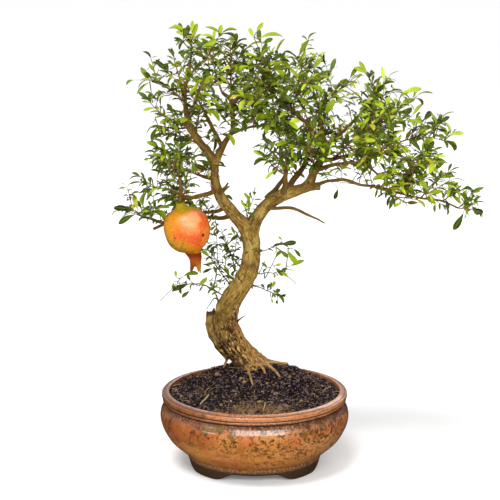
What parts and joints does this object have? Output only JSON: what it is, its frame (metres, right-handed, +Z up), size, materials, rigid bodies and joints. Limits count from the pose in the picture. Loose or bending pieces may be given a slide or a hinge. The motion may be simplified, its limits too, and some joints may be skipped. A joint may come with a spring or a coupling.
{
  "type": "pomegranate bonsai",
  "caption": "Old pomegranate bonsai with a leaning trunk, open leafy sprays, a ripening fruit and a flower bud, in a round glazed pot on bracket feet.",
  "frame": {"origin": "middle of the bounding box in X and Y, at its bottom, in the plane that the pot's feet stand on", "axes": "+Z up; -Y is the front, from which the trunk leans to the left; +X to the right of that front, the way the long low branch reaches"},
  "size_m": [0.5008, 0.2548, 0.6017],
  "materials": {
    "glaze": "gloss",
    "screen": "matte",
    "soil": "matte",
    "bark": "matte",
    "leaf": "satin",
    "rind": "satin",
    "petal": "satin"
  },
  "bodies": {
    "root": {"pot": "glaze", "drain_screen": "screen", "soil": "soil", "trunk": "bark", "fruit": "rind", "flower_bud": "petal", "spray_crown_centre_front": "leaf", "spray_crown_centre_rear": "leaf", "spray_crown_centre_tall": "leaf", "spray_crown_left_arch": "leaf", "spray_crown_left_front": "leaf", "spray_crown_left_inner": "leaf", "spray_crown_left_rear": "leaf", "spray_crown_left_tall": "leaf", "spray_crown_left_top": "leaf", "spray_crown_low_front": "leaf", "spray_crown_mid": "leaf", "spray_crown_mid_front": "leaf", "spray_crown_mid_left": "leaf", "spray_crown_mid_rear": "leaf", "spray_crown_right_arch": "leaf", "spray_crown_right_front": "leaf", "spray_crown_right_tall": "leaf", "spray_inner_front": "leaf", "spray_inner_front_right": "leaf", "spray_inner_low": "leaf", "spray_inner_mid": "leaf", "spray_inner_rear_left": "leaf", "spray_inner_rear_right": "leaf", "spray_left_above_fruit": "leaf", "spray_left_arc": "leaf", "spray_left_arching": "leaf", "spray_left_behind_fruit": "leaf", "spray_left_front": "leaf", "spray_left_high": "leaf", "spray_left_low_front": "leaf", "spray_left_low_tip": "leaf", "spray_left_outer": "leaf", "spray_left_rear_high": "leaf", "spray_left_rear_mid": "leaf", "spray_low_branch_back": "leaf", "spray_low_branch_front": "leaf", "spray_low_branch_rear": "leaf", "spray_low_branch_tip": "leaf", "spray_low_branch_upper": "leaf", "spray_right_crest": "leaf", "spray_right_front": "leaf", "spray_right_front_high": "leaf", "spray_right_low_front": "leaf", "spray_right_mid_tip": "leaf", "spray_right_rear": "leaf", "spray_right_rear_low": "leaf", "spray_right_top": "leaf", "spray_sprout_fork": "leaf", "spray_sprout_left_high": "leaf", "spray_sprout_left_long": "leaf", "spray_sprout_left_mid": "leaf", "spray_sprout_right": "leaf", "spray_sprout_right_high": "leaf", "spray_sprout_right_low": "leaf"}
  },
  "joints": []
}
